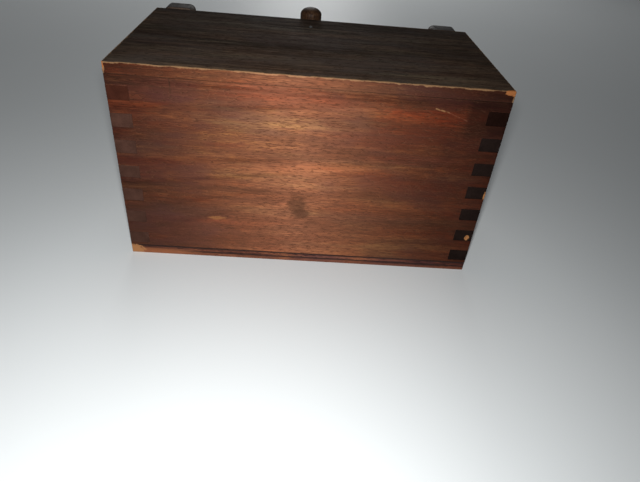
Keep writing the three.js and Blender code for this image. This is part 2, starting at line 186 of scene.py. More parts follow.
# ---- wood

AXES = "XYZ"

# Shades of one wood: its dark streaks, its body, its light streaks, the cooler brown that it
# drifts to in patches, its end grain, and the bare wood that shows where the stain has worn off.
RED_STAIN = {
    "dark": rgb(0.014, 0.004, 0.003), "body": rgb(0.076, 0.022, 0.010),
    "light": rgb(0.200, 0.068, 0.025), "cool": rgb(0.040, 0.014, 0.016),
    "end": rgb(0.045, 0.021, 0.015), "bare": rgb(0.36, 0.16, 0.06),
}
DARK_STAIN = {
    "dark": rgb(0.020, 0.012, 0.008), "body": rgb(0.052, 0.034, 0.023),
    "light": rgb(0.100, 0.064, 0.040), "cool": rgb(0.048, 0.036, 0.031),
    "end": rgb(0.022, 0.017, 0.015), "bare": rgb(0.27, 0.155, 0.075),
}
KNOB_STAIN = {
    "dark": rgb(0.012, 0.006, 0.004), "body": rgb(0.036, 0.017, 0.009),
    "light": rgb(0.080, 0.042, 0.022), "cool": rgb(0.022, 0.012, 0.009),
    "end": rgb(0.034, 0.018, 0.011), "bare": rgb(0.30, 0.15, 0.07),
}
BARE_WOOD = {
    "dark": rgb(0.300, 0.165, 0.075), "body": rgb(0.430, 0.265, 0.130),
    "light": rgb(0.540, 0.360, 0.195), "cool": rgb(0.400, 0.262, 0.150),
    "end": rgb(0.240, 0.135, 0.065), "bare": rgb(0.58, 0.41, 0.25),
}

# Polished fibres mirror light in a band across the grain, tinted by the wood.
SHEEN = {
    "IOR": 1.6, "Specular_IOR_Level": 1.0, "Specular_Tint": rgb(1.0, 0.43, 0.235),
    "Anisotropic": 1.0,
}
SATIN = {"IOR": 1.45, "Specular_IOR_Level": 0.3}
DRY = {"IOR": 1.4, "Specular_IOR_Level": 0.015}


class Wood(Shader):
    """Plain-sawn wood whose grain runs along one axis of the frame."""

    def __init__(self, name, grain, shades, seed):
        super().__init__(name)
        self.grain = AXES.index(grain)
        self.shades = shades
        self.seed = seed
        self.dullness = 0.0

    def along(self, lengthwise, across):
        """Feature counts per metre: lengthwise along the grain, and across it."""
        return tuple(lengthwise if i == self.grain else across for i in range(3))

    def sum(self, layers):
        """Adds (share, noise) layers up."""
        total = None
        for share, layer in layers:
            part = self.math("MULTIPLY", layer, share)
            total = part if total is None else self.math("ADD", total, part)
        return total

    def long_grain(self, hues=0.3):
        """Streaks, fibres and pores along the grain. hues is how much the hue varies."""
        shades = self.shades
        self.lines = self.noise(self.along(13, 260), 3, 0.6, self.seed + 1)
        self.fibres = self.noise(self.along(95, 1150), 2, 0.65, self.seed + 2)
        bands = self.noise(self.along(6, 62), 3, 0.55, self.seed, 0.5)
        self.tone = self.sum([(0.34, bands), (0.29, self.lines), (0.37, self.fibres)])
        colour = self.ramp(self.tone, [(0.39, shades["dark"]), (0.50, shades["body"]),
                                       (0.61, shades["light"])])
        drift = self.noise(self.along(11, 26), 3, 0.6, self.seed + 3)
        self.colour = self.mix(self.step(drift, 0.44, 0.66), colour,
                               self.mix(0.65, colour, shades["cool"]))
        dashes = self.noise(self.along(230, 1250), 1, 0.5, self.seed + 4)
        self.pores = self.step(dashes, 0.58, 0.68)
        self.tint(self.pores, shades["dark"], 0.75)
        hue = self.noise(self.along(9, 75), 3, 0.6, self.seed + 5)
        self.stain(self.step(hue, 0.50, 0.66), (1.10, 0.80, 0.71), hues)
        self.stain(self.step(hue, 0.50, 0.34), (0.95, 1.32, 1.35), hues)
        return self

    def end_grain(self):
        """The cut across the fibres: dots and faint rings in place of streaks."""
        shades = self.shades
        self.lines = self.noise(130, 3, 0.55, self.seed + 5)
        self.fibres = self.noise(1100, 2, 0.6, self.seed + 6)
        self.tone = self.sum([(0.55, self.lines), (0.45, self.fibres)])
        low, high = shades["end"], self.brighter(shades["end"], 1.55)
        self.colour = self.mix(self.step(self.tone, 0.36, 0.66), low, high)
        self.pores = self.step(self.fibres, 0.60, 0.72)
        self.tint(self.pores, self.brighter(shades["end"], 0.5), 0.6)
        return self

    @staticmethod
    def brighter(colour, factor):
        return rgb(*[part * factor for part in colour[:3]])

    def tint(self, mask, colour, amount=1.0):
        self.colour = self.mix(self.math("MULTIPLY", mask, amount), self.colour, colour)

    def stain(self, mask, factors, amount=1.0, dull=0.0):
        """Multiplies the wood's red, green and blue under a mask, so that its figure stays."""
        stained = self.mix(1.0, self.colour, rgb(*factors), "MULTIPLY")
        self.tint(mask, stained, amount)
        if dull:
            self.dullness = self.math("ADD", self.dullness, self.math("MULTIPLY", mask, dull))

    def wear(self, low, high, width, amount, ragged=1.0):
        """Rubs the stain off the edges of a box. ragged is how uneven the rubbed line is."""
        edge = self.arris(low, high)
        patches = self.noise(110, 3, 0.65, self.seed + 7)
        reach = self.span(patches, (1 - 1.3 * ragged) * width, (1 + ragged) * width, 0.3, 0.7)
        rubbed = self.step(self.math("SUBTRACT", reach, edge), -0.35 * width, 0.35 * width)
        self.tint(rubbed, self.shades["bare"], amount)
        return self

    def chips(self, chips):
        """Bare wood inside small dents: (centre, radii) pairs."""
        fray = self.noise(700, 2, 0.6, self.seed + 8)
        wobble = self.span(fray, -0.35, 0.35, 0.25, 0.75)
        for centre, radii in chips:
            self.tint(self.blob(centre, radii, 0.25, wobble), self.shades["bare"], 0.9)
        return self

    def coated(self, roughness, relief=0.12 * MM, finish=None):
        """Closes the material with a thin uneven varnish over the fibres."""
        blotch = self.noise(24, 3, 0.6, self.seed + 9)
        gloss = self.span(blotch, roughness - 0.06, roughness + 0.06, 0.3, 0.7)
        gloss = self.math("ADD", gloss, self.span(self.tone, 0.12, -0.12, 0.35, 0.65))
        gloss = self.math("ADD", gloss, self.dullness)
        gloss = self.math("ADD", gloss, self.math("MULTIPLY", self.pores, 0.15), clamp=True)
        normal = self.bump(self.lines, relief * 1.5, 0.5)
        normal = self.bump(self.fibres, relief, 0.7, normal)
        dips = self.math("SUBTRACT", 1.0, self.pores)
        normal = self.bump(dips, relief, 0.6, normal)
        return self.finish(self.colour, gloss, normal, **(finish or SATIN))

    def polished(self, roughness=0.74):
        """A coat through which the fibres still shine across the grain."""
        across = self.node("ShaderNodeTangent", {}, direction_type="RADIAL", axis=AXES[self.grain])
        self.tree.links.new(across, self.bsdf.inputs["Tangent"])
        return self.coated(roughness, finish=SHEEN)


# ---- the worn places, and the painted shade at the ends

# Dents, as a centre and a half-size along each axis.
LID_CHIPS = [
    (Vector((LID_HIGH.x - 1 * MM, LID_LOW.y, LID_HIGH.z - 0.8 * MM)),
     Vector((5.5, 1.8, 2.2)) * MM),
    (Vector((LID_LOW.x, LID_LOW.y, LID_HIGH.z - 2.5 * MM)), Vector((1.0, 1.2, 3.5)) * MM),
]
PLY_CHIPS = [
    (Vector((PLY_LOW.x, PLY_LOW.y, PLY_LOW.z + 3 * MM)), Vector((9, 1.6, 4.5)) * MM),
]
SIDE_CHIPS = [
    (Vector((BACK_HIGH.x - 4.6 * MM, BACK_LOW.y, 0.215 * HEIGHT)), Vector((1.7, 1.2, 2.2)) * MM),
    (Vector((BACK_HIGH.x - 0.6 * MM, BACK_LOW.y, 0.47 * HEIGHT)), Vector((0.7, 1, 3.6)) * MM),
]


def back_face_point(across, up):
    """A point on the back's face: fractions of the box's width from its middle, and height."""
    return Vector((across * WIDTH, BACK_LOW.y, up * HEIGHT))


def paint_end_shade(wood):
    """Painted shade: darker towards both ends, most of all at the dimmer right one."""
    x = wood.parts(wood.place)[0]
    wood.stain(wood.step(x, -0.20 * WIDTH, -0.50 * WIDTH), (0.56, 0.50, 0.56))
    wood.stain(wood.step(x, 0.08 * WIDTH, 0.50 * WIDTH), (0.36, 0.24, 0.28))


# What a cloud multiplies the wood's red, green and blue by, and how much it dulls the sheen.
ORANGE, RED = ((1.6, 1.9, 1.4), -0.03), ((1.15, 0.70, 0.60), 0.02)
PURPLE, SOOT = ((0.66, 0.62, 0.98), 0.06), ((0.25, 0.33, 0.40), 0.19)

# Cloudy places in the stain: share across, share up, half-width and half-height in mm, and amount.
CLOUDS = [
    (-0.09, 0.73, 26, 8, ORANGE, 0.55), (-0.23, 0.65, 17, 6, ORANGE, 0.45),
    (-0.06, 0.90, 30, 4, RED, 0.90), (0.27, 0.83, 20, 7, RED, 0.90),
    (0.42, 0.57, 14, 2.5, ORANGE, 0.60), (0.04, 0.315, 6, 2.2, ORANGE, 0.70),
    (-0.35, 0.20, 25, 14, PURPLE, 0.90), (-0.37, 0.90, 16, 5, PURPLE, 0.90),
    (0.27, 0.64, 20, 3, PURPLE, 0.90), (0.16, 0.30, 34, 3, PURPLE, 0.60),
    (-0.10, 0.40, 20, 2.5, SOOT, 0.50), (-0.17, 0.43, 12, 1.5, SOOT, 0.40),
    (-0.02, 0.355, 4, 4, SOOT, 1.0), (-0.005, 0.30, 4.5, 2.5, SOOT, 1.0),
    (0.26, 0.91, 8, 3, SOOT, 0.55),
]


def add_back_marks(wood):
    """Clouds of stain, a knot and scratches on the back board."""
    x, _, z = wood.parts(wood.place)
    flaw = wood.noise(wood.along(60, 260), 4, 0.7, 40)
    ragged = wood.span(flaw, -0.7, 0.7, 0.3, 0.7)
    for across, up, half_width, half_height, (factors, dull), amount in CLOUDS:
        radii = Vector((half_width, 8, half_height)) * MM
        cloud = wood.blob(back_face_point(across, up), radii, 1.2, ragged)
        wood.stain(cloud, factors, amount, dull * amount)

    # A dark patch with two straight sides under the right end of the lid.
    into_patch = wood.step(x, 0.385 * WIDTH, 0.405 * WIDTH)
    above_patch = wood.step(z, 0.74 * HEIGHT, 0.82 * HEIGHT)
    wood.stain(wood.math("MULTIPLY", into_patch, above_patch), (0.34, 0.32, 0.5))

    scrape = Vector((5, 3, 1.2)) * MM
    wood.tint(wood.blob(back_face_point(-0.245, 0.247), scrape, 0.4, ragged),
              rgb(0.22, 0.090, 0.028), 0.65)
    scratches = [
        ((0.312, 0.898), (0.345, 0.884), 0.5, rgb(0.26, 0.14, 0.06), 0.75),
        ((0.345, 0.884), (0.396, 0.851), 0.3, rgb(0.18, 0.07, 0.04), 0.5),
        ((-0.345, 0.95), (-0.344, 0.862), 0.5, rgb(0.012, 0.006, 0.005), 0.75),
    ]
    for start, end, width, colour, amount in scratches:
        line = (back_face_point(*start), back_face_point(*end))
        add_scratch(wood, *line, width * MM, colour, amount)


def add_scratch(wood, start, end, width, colour, amount):
    """A thin broken line between two points of the surface."""
    run = end - start
    offset = wood.vector("SUBTRACT", wood.place, tuple(start))
    share = wood.vector("DOT_PRODUCT", offset, tuple(run), output=1)
    share = wood.math("DIVIDE", share, run.length_squared, clamp=True)
    nearest = wood.node("ShaderNodeVectorMath", {0: tuple(run), "Scale": share},
                        operation="SCALE")
    away = wood.vector("LENGTH", wood.vector("SUBTRACT", offset, nearest), output=1)
    line = wood.step(away, 1.6 * width, 0.4 * width)
    broken = wood.step(wood.noise(260, 2, 0.6, 50), 0.36, 0.55)
    wood.tint(wood.math("MULTIPLY", line, broken), colour, amount)


# ---- wood materials

def board_wood(node, grain, shades, seed, roughness=0.5, worn=0.3):
    """A plain board's two woods: along the grain, and across it."""
    low, high = box_of(node)
    long = Wood(f"{node}_wood", grain, shades, seed).long_grain()
    end = Wood(f"{node}_end_wood", grain, shades, seed).end_grain()
    for wood in (long, end):
        wood.wear(low, high, 0.4 * MM, worn)
    return [long.coated(roughness), end.coated(roughness + 0.1)]


def back_board_wood():
    long = Wood("back_board_wood", "X", RED_STAIN, 1).long_grain(1.0)
    # Painted shade at both ends of the face.
    paint_end_shade(long)
    add_back_marks(long)
    end = Wood("back_board_end_wood", "X", RED_STAIN, 1).end_grain()
    return [long.polished(), end.coated(0.8, finish=DRY)]


def side_board_wood(side):
    """Painted shade: the right board's fingers are darker than the left one's."""
    shades = dict(RED_STAIN)
    # Painted shade: the right end stands in dimmer light.
    if side == "right":
        shades["end"] = rgb(0.010, 0.006, 0.005)
    seed = 11 + SIDES[side]
    long = Wood(f"{side}_side_board_wood", "Y", shades, seed).long_grain(1.0)
    end = Wood(f"{side}_side_board_end_wood", "Y", shades, seed).end_grain()
    # The uppermost finger took the stain like the board beside it.
    z = end.parts(end.place)[2]
    end.stain(end.step(z, 0.80 * HEIGHT, 0.83 * HEIGHT), (0.75, 0.50, 0.42))
    if side == "right":
        end.chips(SIDE_CHIPS)
        long.chips(SIDE_CHIPS)
    return [long.polished(), end.coated(0.8, finish=DRY)]


def lid_wood():
    """Red-brown edges and a dark, dull top, with the stain rubbed off the arris between."""
    edge = Wood("lid_edge_wood", "X", RED_STAIN, 1).long_grain(1.0)
    # Painted shade at both ends of the edges.
    paint_end_shade(edge)
    end = Wood("lid_end_wood", "X", RED_STAIN, 1).end_grain()
    top = Wood("lid_top_wood", "X", DARK_STAIN, 21).long_grain()
    dust = top.noise((14, 9, 9), 4, 0.6, 27)
    top.tint(top.step(dust, 0.50, 0.75), rgb(0.060, 0.050, 0.043), 0.3)
    # Only the top arris is worn, so the box whose edges are rubbed reaches below the lid.
    below = Vector((LID_LOW.x, LID_LOW.y, LID_LOW.z - 20 * MM))
    for wood in (edge, end, top):
        wood.shades = dict(wood.shades, bare=DARK_STAIN["bare"])
        wood.wear(below, LID_HIGH, 0.9 * MM, 0.75, 0.75)
        wood.shades["bare"] = rgb(0.34, 0.125, 0.040)
        wood.chips(LID_CHIPS)
    return [edge.polished(), end.coated(0.8, finish=DRY), top.coated(0.75, finish=DRY)]


def knob_wood(node, axis, seed):
    wood = Wood(f"{node}_wood", axis, KNOB_STAIN, seed).long_grain()
    return [wood.coated(0.52, 0.05 * MM, {"IOR": 1.45, "Specular_IOR_Level": 0.16})]


def ply_wood():
    """Stained plywood: dark plies between pale ones along its edges, and a pale worn foot."""
    shades = {key: Wood.brighter(colour, 1.9) for key, colour in RED_STAIN.items()}
    shades["bare"] = RED_STAIN["bare"]
    wood = Wood("bottom_panel_wood", "X", shades, 31).long_grain()
    # Painted shade at both ends of the edge.
    paint_end_shade(wood)
    x, _, z = wood.parts(wood.place)
    thickness = PLY_HIGH.z - PLY_LOW.z
    waviness = wood.span(wood.noise(26, 3, 0.6, 33), -0.3 * MM, 0.3 * MM)
    level = wood.math("ADD", z, waviness)
    up = wood.span(level, 0, 1, PLY_LOW.z, PLY_HIGH.z)
    foot = wood.step(up, 0.42, 0.10)
    wood.tint(foot, rgb(0.24, 0.085, 0.040), 0.5)
    for middle, half in ((0.50, 0.085), (0.97, 0.10)):
        away = wood.math("ABSOLUTE", wood.math("SUBTRACT", up, middle))
        wood.tint(wood.step(away, half + 0.04, half - 0.03), rgb(0.016, 0.006, 0.004), 0.85)
    left_end = wood.step(x, -0.27 * WIDTH, -0.40 * WIDTH)
    wood.tint(wood.math("MULTIPLY", left_end, wood.step(up, 0.8, 0.5)),
              rgb(0.30, 0.10, 0.038), 0.7)
    wood.chips(PLY_CHIPS)
    under = Wood("bottom_panel_face_wood", "X", BARE_WOOD, 32).long_grain()
    return [wood.coated(0.7), under.coated(0.65)]


# ---- metal, rubber, plastic

def steel(name, colour, roughness, brushed, seed):
    """Steel brushed along one axis of the frame."""
    metal = Shader(name)
    counts = tuple(40 if axis == brushed else 2600 for axis in AXES)
    lines = metal.noise(counts, 2, 0.6, seed)
    smears = metal.noise(45, 3, 0.6, seed + 1)
    shade = metal.mix(metal.step(smears, 0.35, 0.7), rgb(*colour),
                      rgb(*[0.78 * part for part in colour]))
    gloss = metal.math("ADD", metal.span(lines, roughness - 0.08, roughness + 0.1, 0.3, 0.7),
                       metal.span(smears, 0.0, 0.12, 0.4, 0.8))
    normal = metal.bump(lines, 0.02 * MM, 0.5)
    return metal.finish(shade, gloss, normal, Metallic=1.0)


def brass(name):
    metal = Shader(name)
    tarnish = metal.noise(260, 3, 0.6, 61)
    shade = metal.mix(metal.step(tarnish, 0.4, 0.7), rgb(0.62, 0.44, 0.17),
                      rgb(0.34, 0.21, 0.08))
    gloss = metal.span(tarnish, 0.24, 0.5, 0.3, 0.7)
    return metal.finish(shade, gloss, metal.bump(tarnish, 0.02 * MM, 0.4), Metallic=1.0)


def rubber(name):
    """Black rubber with a coffee-dusted, slightly scuffed skin."""
    skin = Shader(name)
    pits = skin.noise(1500, 2, 0.6, 71)
    dust = skin.noise(90, 4, 0.65, 72)
    shade = skin.mix(skin.step(dust, 0.48, 0.75), rgb(0.012, 0.012, 0.012),
                     rgb(0.050, 0.040, 0.033))
    gloss = skin.span(dust, 0.55, 0.85, 0.3, 0.7)
    return skin.finish(shade, gloss, skin.bump(pits, 0.05 * MM, 0.5))


def plastic(name):
    shell = Shader(name)
    grain = shell.noise(1100, 2, 0.5, 81)
    scuffs = shell.noise(120, 3, 0.6, 82)
    shade = shell.mix(shell.step(scuffs, 0.5, 0.75), rgb(0.018, 0.018, 0.019),
                      rgb(0.038, 0.037, 0.036))
    gloss = shell.span(scuffs, 0.4, 0.62, 0.3, 0.7)
    return shell.finish(shade, gloss, shell.bump(grain, 0.03 * MM, 0.5))


# ---- mesh building

CREASE = 32                      # degrees between two faces that meet in a sharp edge


def add_object(name, data):
    added = bpy.data.objects.new(name, data)
    bpy.context.scene.collection.objects.link(added)
    return added


def link_mesh(name, bm, crease=CREASE):
    """A new object from a bmesh, smooth across edges flatter than the crease angle."""
    bmesh.ops.recalc_face_normals(bm, faces=bm.faces)
    mesh = bpy.data.meshes.new(name)
    bm.to_mesh(mesh)
    bm.free()
    mesh.shade_smooth()
    mesh.set_sharp_from_angle(angle=math.radians(crease))
    return add_object(name, mesh)


def stand_in(piece, node, materials, ends=None):
    """The piece takes the place of a CAD node: its body and its finish. The
    faces along the axis named by ends take the second material."""
    piece.data.materials.clear()
    for material in materials:
        piece.data.materials.append(material)
    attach(piece, BODY_OF[node])
    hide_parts(node)
    if ends:
        paint_facing(piece, ends, 1)
    return piece


def paint_facing(piece, axis, material_index, ways=(-1, 1), least=0.7):
    """Gives the faces that face along an axis another of the piece's materials."""
    for polygon in piece.data.polygons:
        part = polygon.normal[AXES.index(axis)]
        if any(part * way > least for way in ways):
            polygon.material_index = material_index


PLANES = {
    "X": lambda a, b, depth: (depth, a, b),
    "Y": lambda a, b, depth: (a, depth, b),
    "Z": lambda a, b, depth: (a, b, depth),
}


def bridge(bm, lower, upper):
    """The faces between two rings of vertices. A ring of one vertex is a closed tip."""
    count = max(len(lower), len(upper))
    for i in range(count):
        j = (i + 1) % count
        corners = [lower[i % len(lower)], lower[j % len(lower)],
                   upper[j % len(upper)], upper[i % len(upper)]]
        bm.faces.new(list(dict.fromkeys(corners)))


def extruded(outline, axis, low, high):
    """A bmesh of an outline in the two other axes, drawn out from low to high."""
    place = PLANES[axis]
    bm = bmesh.new()
    near = [bm.verts.new(place(a, b, low)) for a, b in outline]
    far = [bm.verts.new(place(a, b, high)) for a, b in outline]
    bm.faces.new(near)
    bm.faces.new(far)
    bridge(bm, near, far)
    bmesh.ops.recalc_face_normals(bm, faces=bm.faces)
    return bm


def rectangle(a0, a1, b0, b1):
    return [(a0, b0), (a1, b0), (a1, b1), (a0, b1)]


def arc(centre, radius, start, end, steps):
    """Points along a circle, from one angle to another in degrees."""
    points = []
    for step in range(steps + 1):
        angle = math.radians(start + (end - start) * step / steps)
        points.append((centre[0] + radius * math.cos(angle), centre[1] + radius * math.sin(angle)))
    return points


TOUCH = 0.02 * MM                # how near a point on a face lies to it
RIM_BEND = 1.0                   # radians; a board's edges that bend more are its rims
SOFT_BEND = 0.6                  # radians; the same for a piece that is rounded all over
DIPS_PER_METRE = (160, 420)      # coarse and fine unevenness of a knocked edge


def faces_touched(point, low, high):
    """The box's faces that a point lies on, as (axis index, whether it is the high one)."""
    corners = ((False, low), (True, high))
    return [(i, at_high) for i in range(3) for at_high, corner in corners
            if abs(point[i] - corner[i]) < TOUCH]


def open_edge(edge, low, high, mates):
    """True for an edge of the board's box that doesn't border a face met by another board."""
    touched = faces_touched((edge.verts[0].co + edge.verts[1].co) / 2, low, high)
    return len(touched) > 1 and not any(face in mates for face in touched)


def round_edges(bm, edges, reach, segments):
    bmesh.ops.bevel(bm, geom=edges, offset=reach, offset_type="OFFSET", segments=segments,
                    profile=0.5, affect="EDGES", clamp_overlap=True)


def ease_edges(bm, low, high, mates, outer, inner):
    """Rounds a board's open edges, and takes only the sharpness off the others."""
    joints = [edge for edge in bm.edges if not open_edge(edge, low, high, mates)]
    round_edges(bm, joints, inner, 1)
    rims = [edge for edge in bm.edges
            if open_edge(edge, low, high, mates) and edge.calc_face_angle(0) > RIM_BEND]
    round_edges(bm, rims, outer, 3)


def divide_long_edges(bm, spacing):
    """Splits every edge longer than spacing, so that its line can be made uneven."""
    groups = {}
    for edge in bm.edges:
        cuts = int(edge.calc_length() / spacing)
        if cuts:
            groups.setdefault(cuts, []).append(edge)
    for cuts, edges in groups.items():
        bmesh.ops.bisect_edges(bm, edges=edges, cuts=cuts)


def dent_edges(bm, low, high, mates, depth, seed, reach=1.6 * MM):
    """Pushes the vertices near a board's open edges in a little, unevenly."""
    middle = (low + high) / 2
    shift = Vector((seed * 1.7, seed * 2.3, seed * 3.1))
    coarse, fine = DIPS_PER_METRE
    for vertex in bm.verts:
        gaps = []
        for i in range(3):
            if (i, False) not in mates:
                gaps.append(max(vertex.co[i] - low[i], 0))
            if (i, True) not in mates:
                gaps.append(max(high[i] - vertex.co[i], 0))
        second = sorted(gaps)[1]
        if second > reach:
            continue
        dip = noise.noise(vertex.co * coarse + shift)
        dip += 0.5 * noise.noise(vertex.co * fine + shift)
        inward = (middle - vertex.co).normalized()
        vertex.co += inward * depth * (1 - second / reach) * max(0.0, dip + 0.25)


def board(node, outline, axis, mates=(), outer=0.4 * MM, inner=0.16 * MM, dent=0.12 * MM,
          seed=1):
    """A board from its outline across one axis, with eased and slightly knocked open edges.

    mates names the faces that other boards cover, such as "+Z" and "-Y"."""
    low, high = box_of(node)
    index = AXES.index(axis)
    covered = [(AXES.index(face[1]), face[0] == "+") for face in mates]
    bm = extruded(outline, axis, low[index], high[index])
    ease_edges(bm, low, high, covered, outer, inner)
    divide_long_edges(bm, 5 * MM)
    dent_edges(bm, low, high, covered, dent, seed)
    return link_mesh(f"{node}_piece", bm)


def soft_solid(node, outline, axis, segments):
    """A node's solid from its outline across one axis, with every sharp edge rounded alike."""
    low, high = box_of(node)
    index = AXES.index(axis)
    bm = extruded(outline, axis, low[index], high[index])
    sharp = [edge for edge in bm.edges if edge.calc_face_angle(0) > SOFT_BEND]
    round_edges(bm, sharp, 0.8 * MM, segments)
    return link_mesh(f"{node}_piece", bm)


def plain_board(node, **options):
    low, high = box_of(node)
    return board(node, rectangle(low.x, high.x, low.y, high.y), "Z", **options)


def rough_stone(name, centre, radii, seed):
    """A small uneven lump that a chip is broken out with."""
    bm = bmesh.new()
    bmesh.ops.create_icosphere(bm, subdivisions=3, radius=1)
    shift = Vector((seed * 3.7, seed * 1.9, seed * 2.3))
    for vertex in bm.verts:
        swell = 1 + 0.4 * noise.noise(vertex.co * 1.3 + shift)
        vertex.co = centre + vertex.co * swell * radii
    return link_mesh(name, bm)


def carve(piece, cutters):
    """Cuts other objects out of a piece and deletes them."""
    for cutter in cutters:
        modifier = piece.modifiers.new(cutter.name, "BOOLEAN")
        modifier.operation = "DIFFERENCE"
        modifier.solver = "EXACT"
        modifier.object = cutter
    depsgraph = bpy.context.evaluated_depsgraph_get()
    shaped = bpy.data.meshes.new_from_object(piece.evaluated_get(depsgraph))
    piece.modifiers.clear()
    piece.data = shaped
    for cutter in cutters:
        bpy.data.objects.remove(cutter, do_unlink=True)
    piece.data.set_sharp_from_angle(angle=math.radians(CREASE))


def chip_out(piece, chips, depth=0.3):
    """Breaks dents out of a piece. Each stone stands off the corner, so that it bites shallowly."""
    low, high = Vector(piece.bound_box[0]), Vector(piece.bound_box[6])
    stones = []
    for i, (centre, radii) in enumerate(chips):
        outward = Vector([0, 0, 0])
        for axis in range(3):
            if centre[axis] - low[axis] < radii[axis]:
                outward[axis] = -1
            if high[axis] - centre[axis] < radii[axis]:
                outward[axis] = 1
        stand_off = outward * radii * (1 - depth) * 0.75
        stones.append(rough_stone(f"stone_{i}", centre + stand_off, radii * 0.85, i + 1))
    carve(piece, stones)


def turned(name, profile, axis, origin, segments=96, flip=False, flutes=0, flute_depth=0.0):
    """A profile of (radius, height) turned about an axis through origin."""
    bm = bmesh.new()
    place = PLANES[axis]
    direction = -1 if flip else 1
    rings = []
    for radius, height in profile:
        if radius == 0:
            rings.append([bm.verts.new(place(0, 0, direction * height))])
            continue
        ring = []
        for i in range(segments):
            angle = 2 * math.pi * i / segments
            groove = flute_depth * (1 + math.cos(flutes * angle)) / 2 if flutes else 0
            reach = radius - groove
            ring.append(bm.verts.new(place(reach * math.cos(angle), reach * math.sin(angle),
                                           direction * height)))
        rings.append(ring)
    pairs = list(zip(rings, rings[1:]))
    if profile[0][0] > 0:
        pairs.append((rings[-1], rings[0]))
    for lower, upper in pairs:
        bridge(bm, lower, upper)
    bmesh.ops.translate(bm, verts=bm.verts, vec=origin)
    return link_mesh(name, bm)


def rounded(profile, radius, steps=5):
    """Rounds every inner corner of a (radius, height) profile by the same small radius."""
    result = [profile[0]]
    for before, corner, after in zip(profile, profile[1:], profile[2:]):
        here = Vector(corner)
        back = Vector(before) - here
        ahead = Vector(after) - here
        reach = min(radius, 0.45 * back.length, 0.45 * ahead.length)
        start = here + back.normalized() * reach
        end = here + ahead.normalized() * reach
        for i in range(steps + 1):
            t = i / steps
            point = start * (1 - t) ** 2 + here * 2 * t * (1 - t) + end * t ** 2
            result.append((point.x, point.y))
    result.append(profile[-1])
    return result


def axis_place(node, axis):
    """Where a round node stands: its lower end's centre, its radius and its length."""
    low, high = box_of(node)
    index = AXES.index(axis)
    origin = (low + high) / 2
    origin[index] = low[index]
    across = (index + 1) % 3
    return origin, (high[across] - low[across]) / 2, high[index] - low[index]


def other_end(origin, axis, length):
    moved = Vector(origin)
    moved[AXES.index(axis)] += length
    return moved


# ---- boards of the case

JOINT_CLOSE = 0.12 * MM          # how far each finger grows to meet its neighbour


def fingers_of(node, axis, at_high):
    """The (foot, top) heights of a board's own fingers at one end, read from its CAD solid."""
    low, high = box_of(node)
    index = AXES.index(axis)
    end = high[index] if at_high else low[index]
    levels = set()
    for vertex in frame["nodes"][node].data.vertices:
        if abs(vertex.co[index] - end) < TOUCH:
            levels.add(round(vertex.co.z, 5))
    levels = sorted(levels)
    fingers = []
    for foot, top in zip(levels[::2], levels[1::2]):
        foot = low.z if foot - low.z < JOINT_CLOSE else foot - JOINT_CLOSE
        top = high.z if high.z - top < JOINT_CLOSE else top + JOINT_CLOSE
        fingers.append((foot, top))
    return fingers


def finger_side(edge, inner, fingers, low_z, high_z):
    """One end of a fingered board, from its foot up."""
    side = [(inner, low_z)] if fingers[0][0] > low_z else []
    for foot, top in fingers:
        side += [(inner, foot)] if foot > low_z else []
        side += [(edge, foot), (edge, top)]
        side += [(inner, top)] if top < high_z else []
    if fingers[-1][1] < high_z:
        side.append((inner, high_z))
    return side


def fingered_board(node, depth_axis, span_axis, notch=(), **options):
    """An upright board whose two ends step in by its thickness between its fingers. notch is
    cut into the top edge, from its high end."""
    low, high = box_of(node)
    index, span = AXES.index(depth_axis), AXES.index(span_axis)
    depth = high[index] - low[index]
    right = finger_side(high[span], high[span] - depth, fingers_of(node, span_axis, True),
                        low.z, high.z)
    left = finger_side(low[span], low[span] + depth, fingers_of(node, span_axis, False),
                       low.z, high.z)
    return board(node, right + list(notch) + left[::-1], depth_axis, **options)


def build_back_board():
    piece = fingered_board("back_board", "Y", "X", mates=("-Z", "+Z", "+Y"), seed=2)
    stand_in(piece, "back_board", back_board_wood(), "X")


def build_apron():
    """The apron under the front of the lid, with the notch that the lid's tongue drops into."""
    high = box_of("front_apron")[1]
    tongue_low, tongue_high = box_of("lid_tongue")
    play = 1 * MM
    left, right = tongue_low.x - play, tongue_high.x + play
    floor = tongue_low.z - play
    notch = [(right, high.z), (right, floor), (left, floor), (left, high.z)]
    piece = fingered_board("front_apron", "Y", "X", notch=notch, mates=("+Z",), seed=3)
    woods = board_wood("front_apron", "X", RED_STAIN, 41)
    stand_in(piece, "front_apron", woods, "X")


def build_side_board(side):
    node = f"{side}_side_board"
    piece = fingered_board(node, "X", "Y", mates=("-Z", "+Z"), seed=4 + SIDES[side])
    if side == "right":
        chip_out(piece, SIDE_CHIPS)
    stand_in(piece, node, side_board_wood(side), "Y")


def build_bottom_panel():
    piece = plain_board("bottom_panel", mates=("+Z",), outer=0.5 * MM, seed=6)
    chip_out(piece, PLY_CHIPS)
    paint_facing(stand_in(piece, "bottom_panel", ply_wood()), "Z", 1, ways=(-1,), least=0.99)


def build_stile(side):
    """A stile with rounded shoulders and soft edges."""
    node = f"{side}_stile"
    low, high = box_of(node)
    shoulder = 5 * MM
    top = high.z - shoulder
    outline = [(low.x, low.z), (high.x, low.z)]
    outline += arc((high.x - shoulder, top), shoulder, 0, 90, 8)
    outline += arc((low.x + shoulder, top), shoulder, 90, 180, 8)
    woods = board_wood(node, "Z", DARK_STAIN, 44 + SIDES[side], 0.6)
    stand_in(soft_solid(node, outline, "Y", 4), node, woods, "Z")


def build_guide(side):
    """A drawer guide, whose top slopes down to the drawer to shed the grounds."""
    node = f"{side}_drawer_guide"
    low, high = box_of(node)
    slope_end = box_of("drawer_back")[1].z
    inner, outer = (low.x, high.x) if SIDES[side] > 0 else (high.x, low.x)
    outline = [(inner, low.z), (outer, low.z), (outer, high.z), (inner, slope_end)]
    piece = board(node, outline, "Y", seed=8)
    woods = board_wood(node, "Y", RED_STAIN, 51 + SIDES[side], 0.6)
    stand_in(piece, node, woods, "Y")


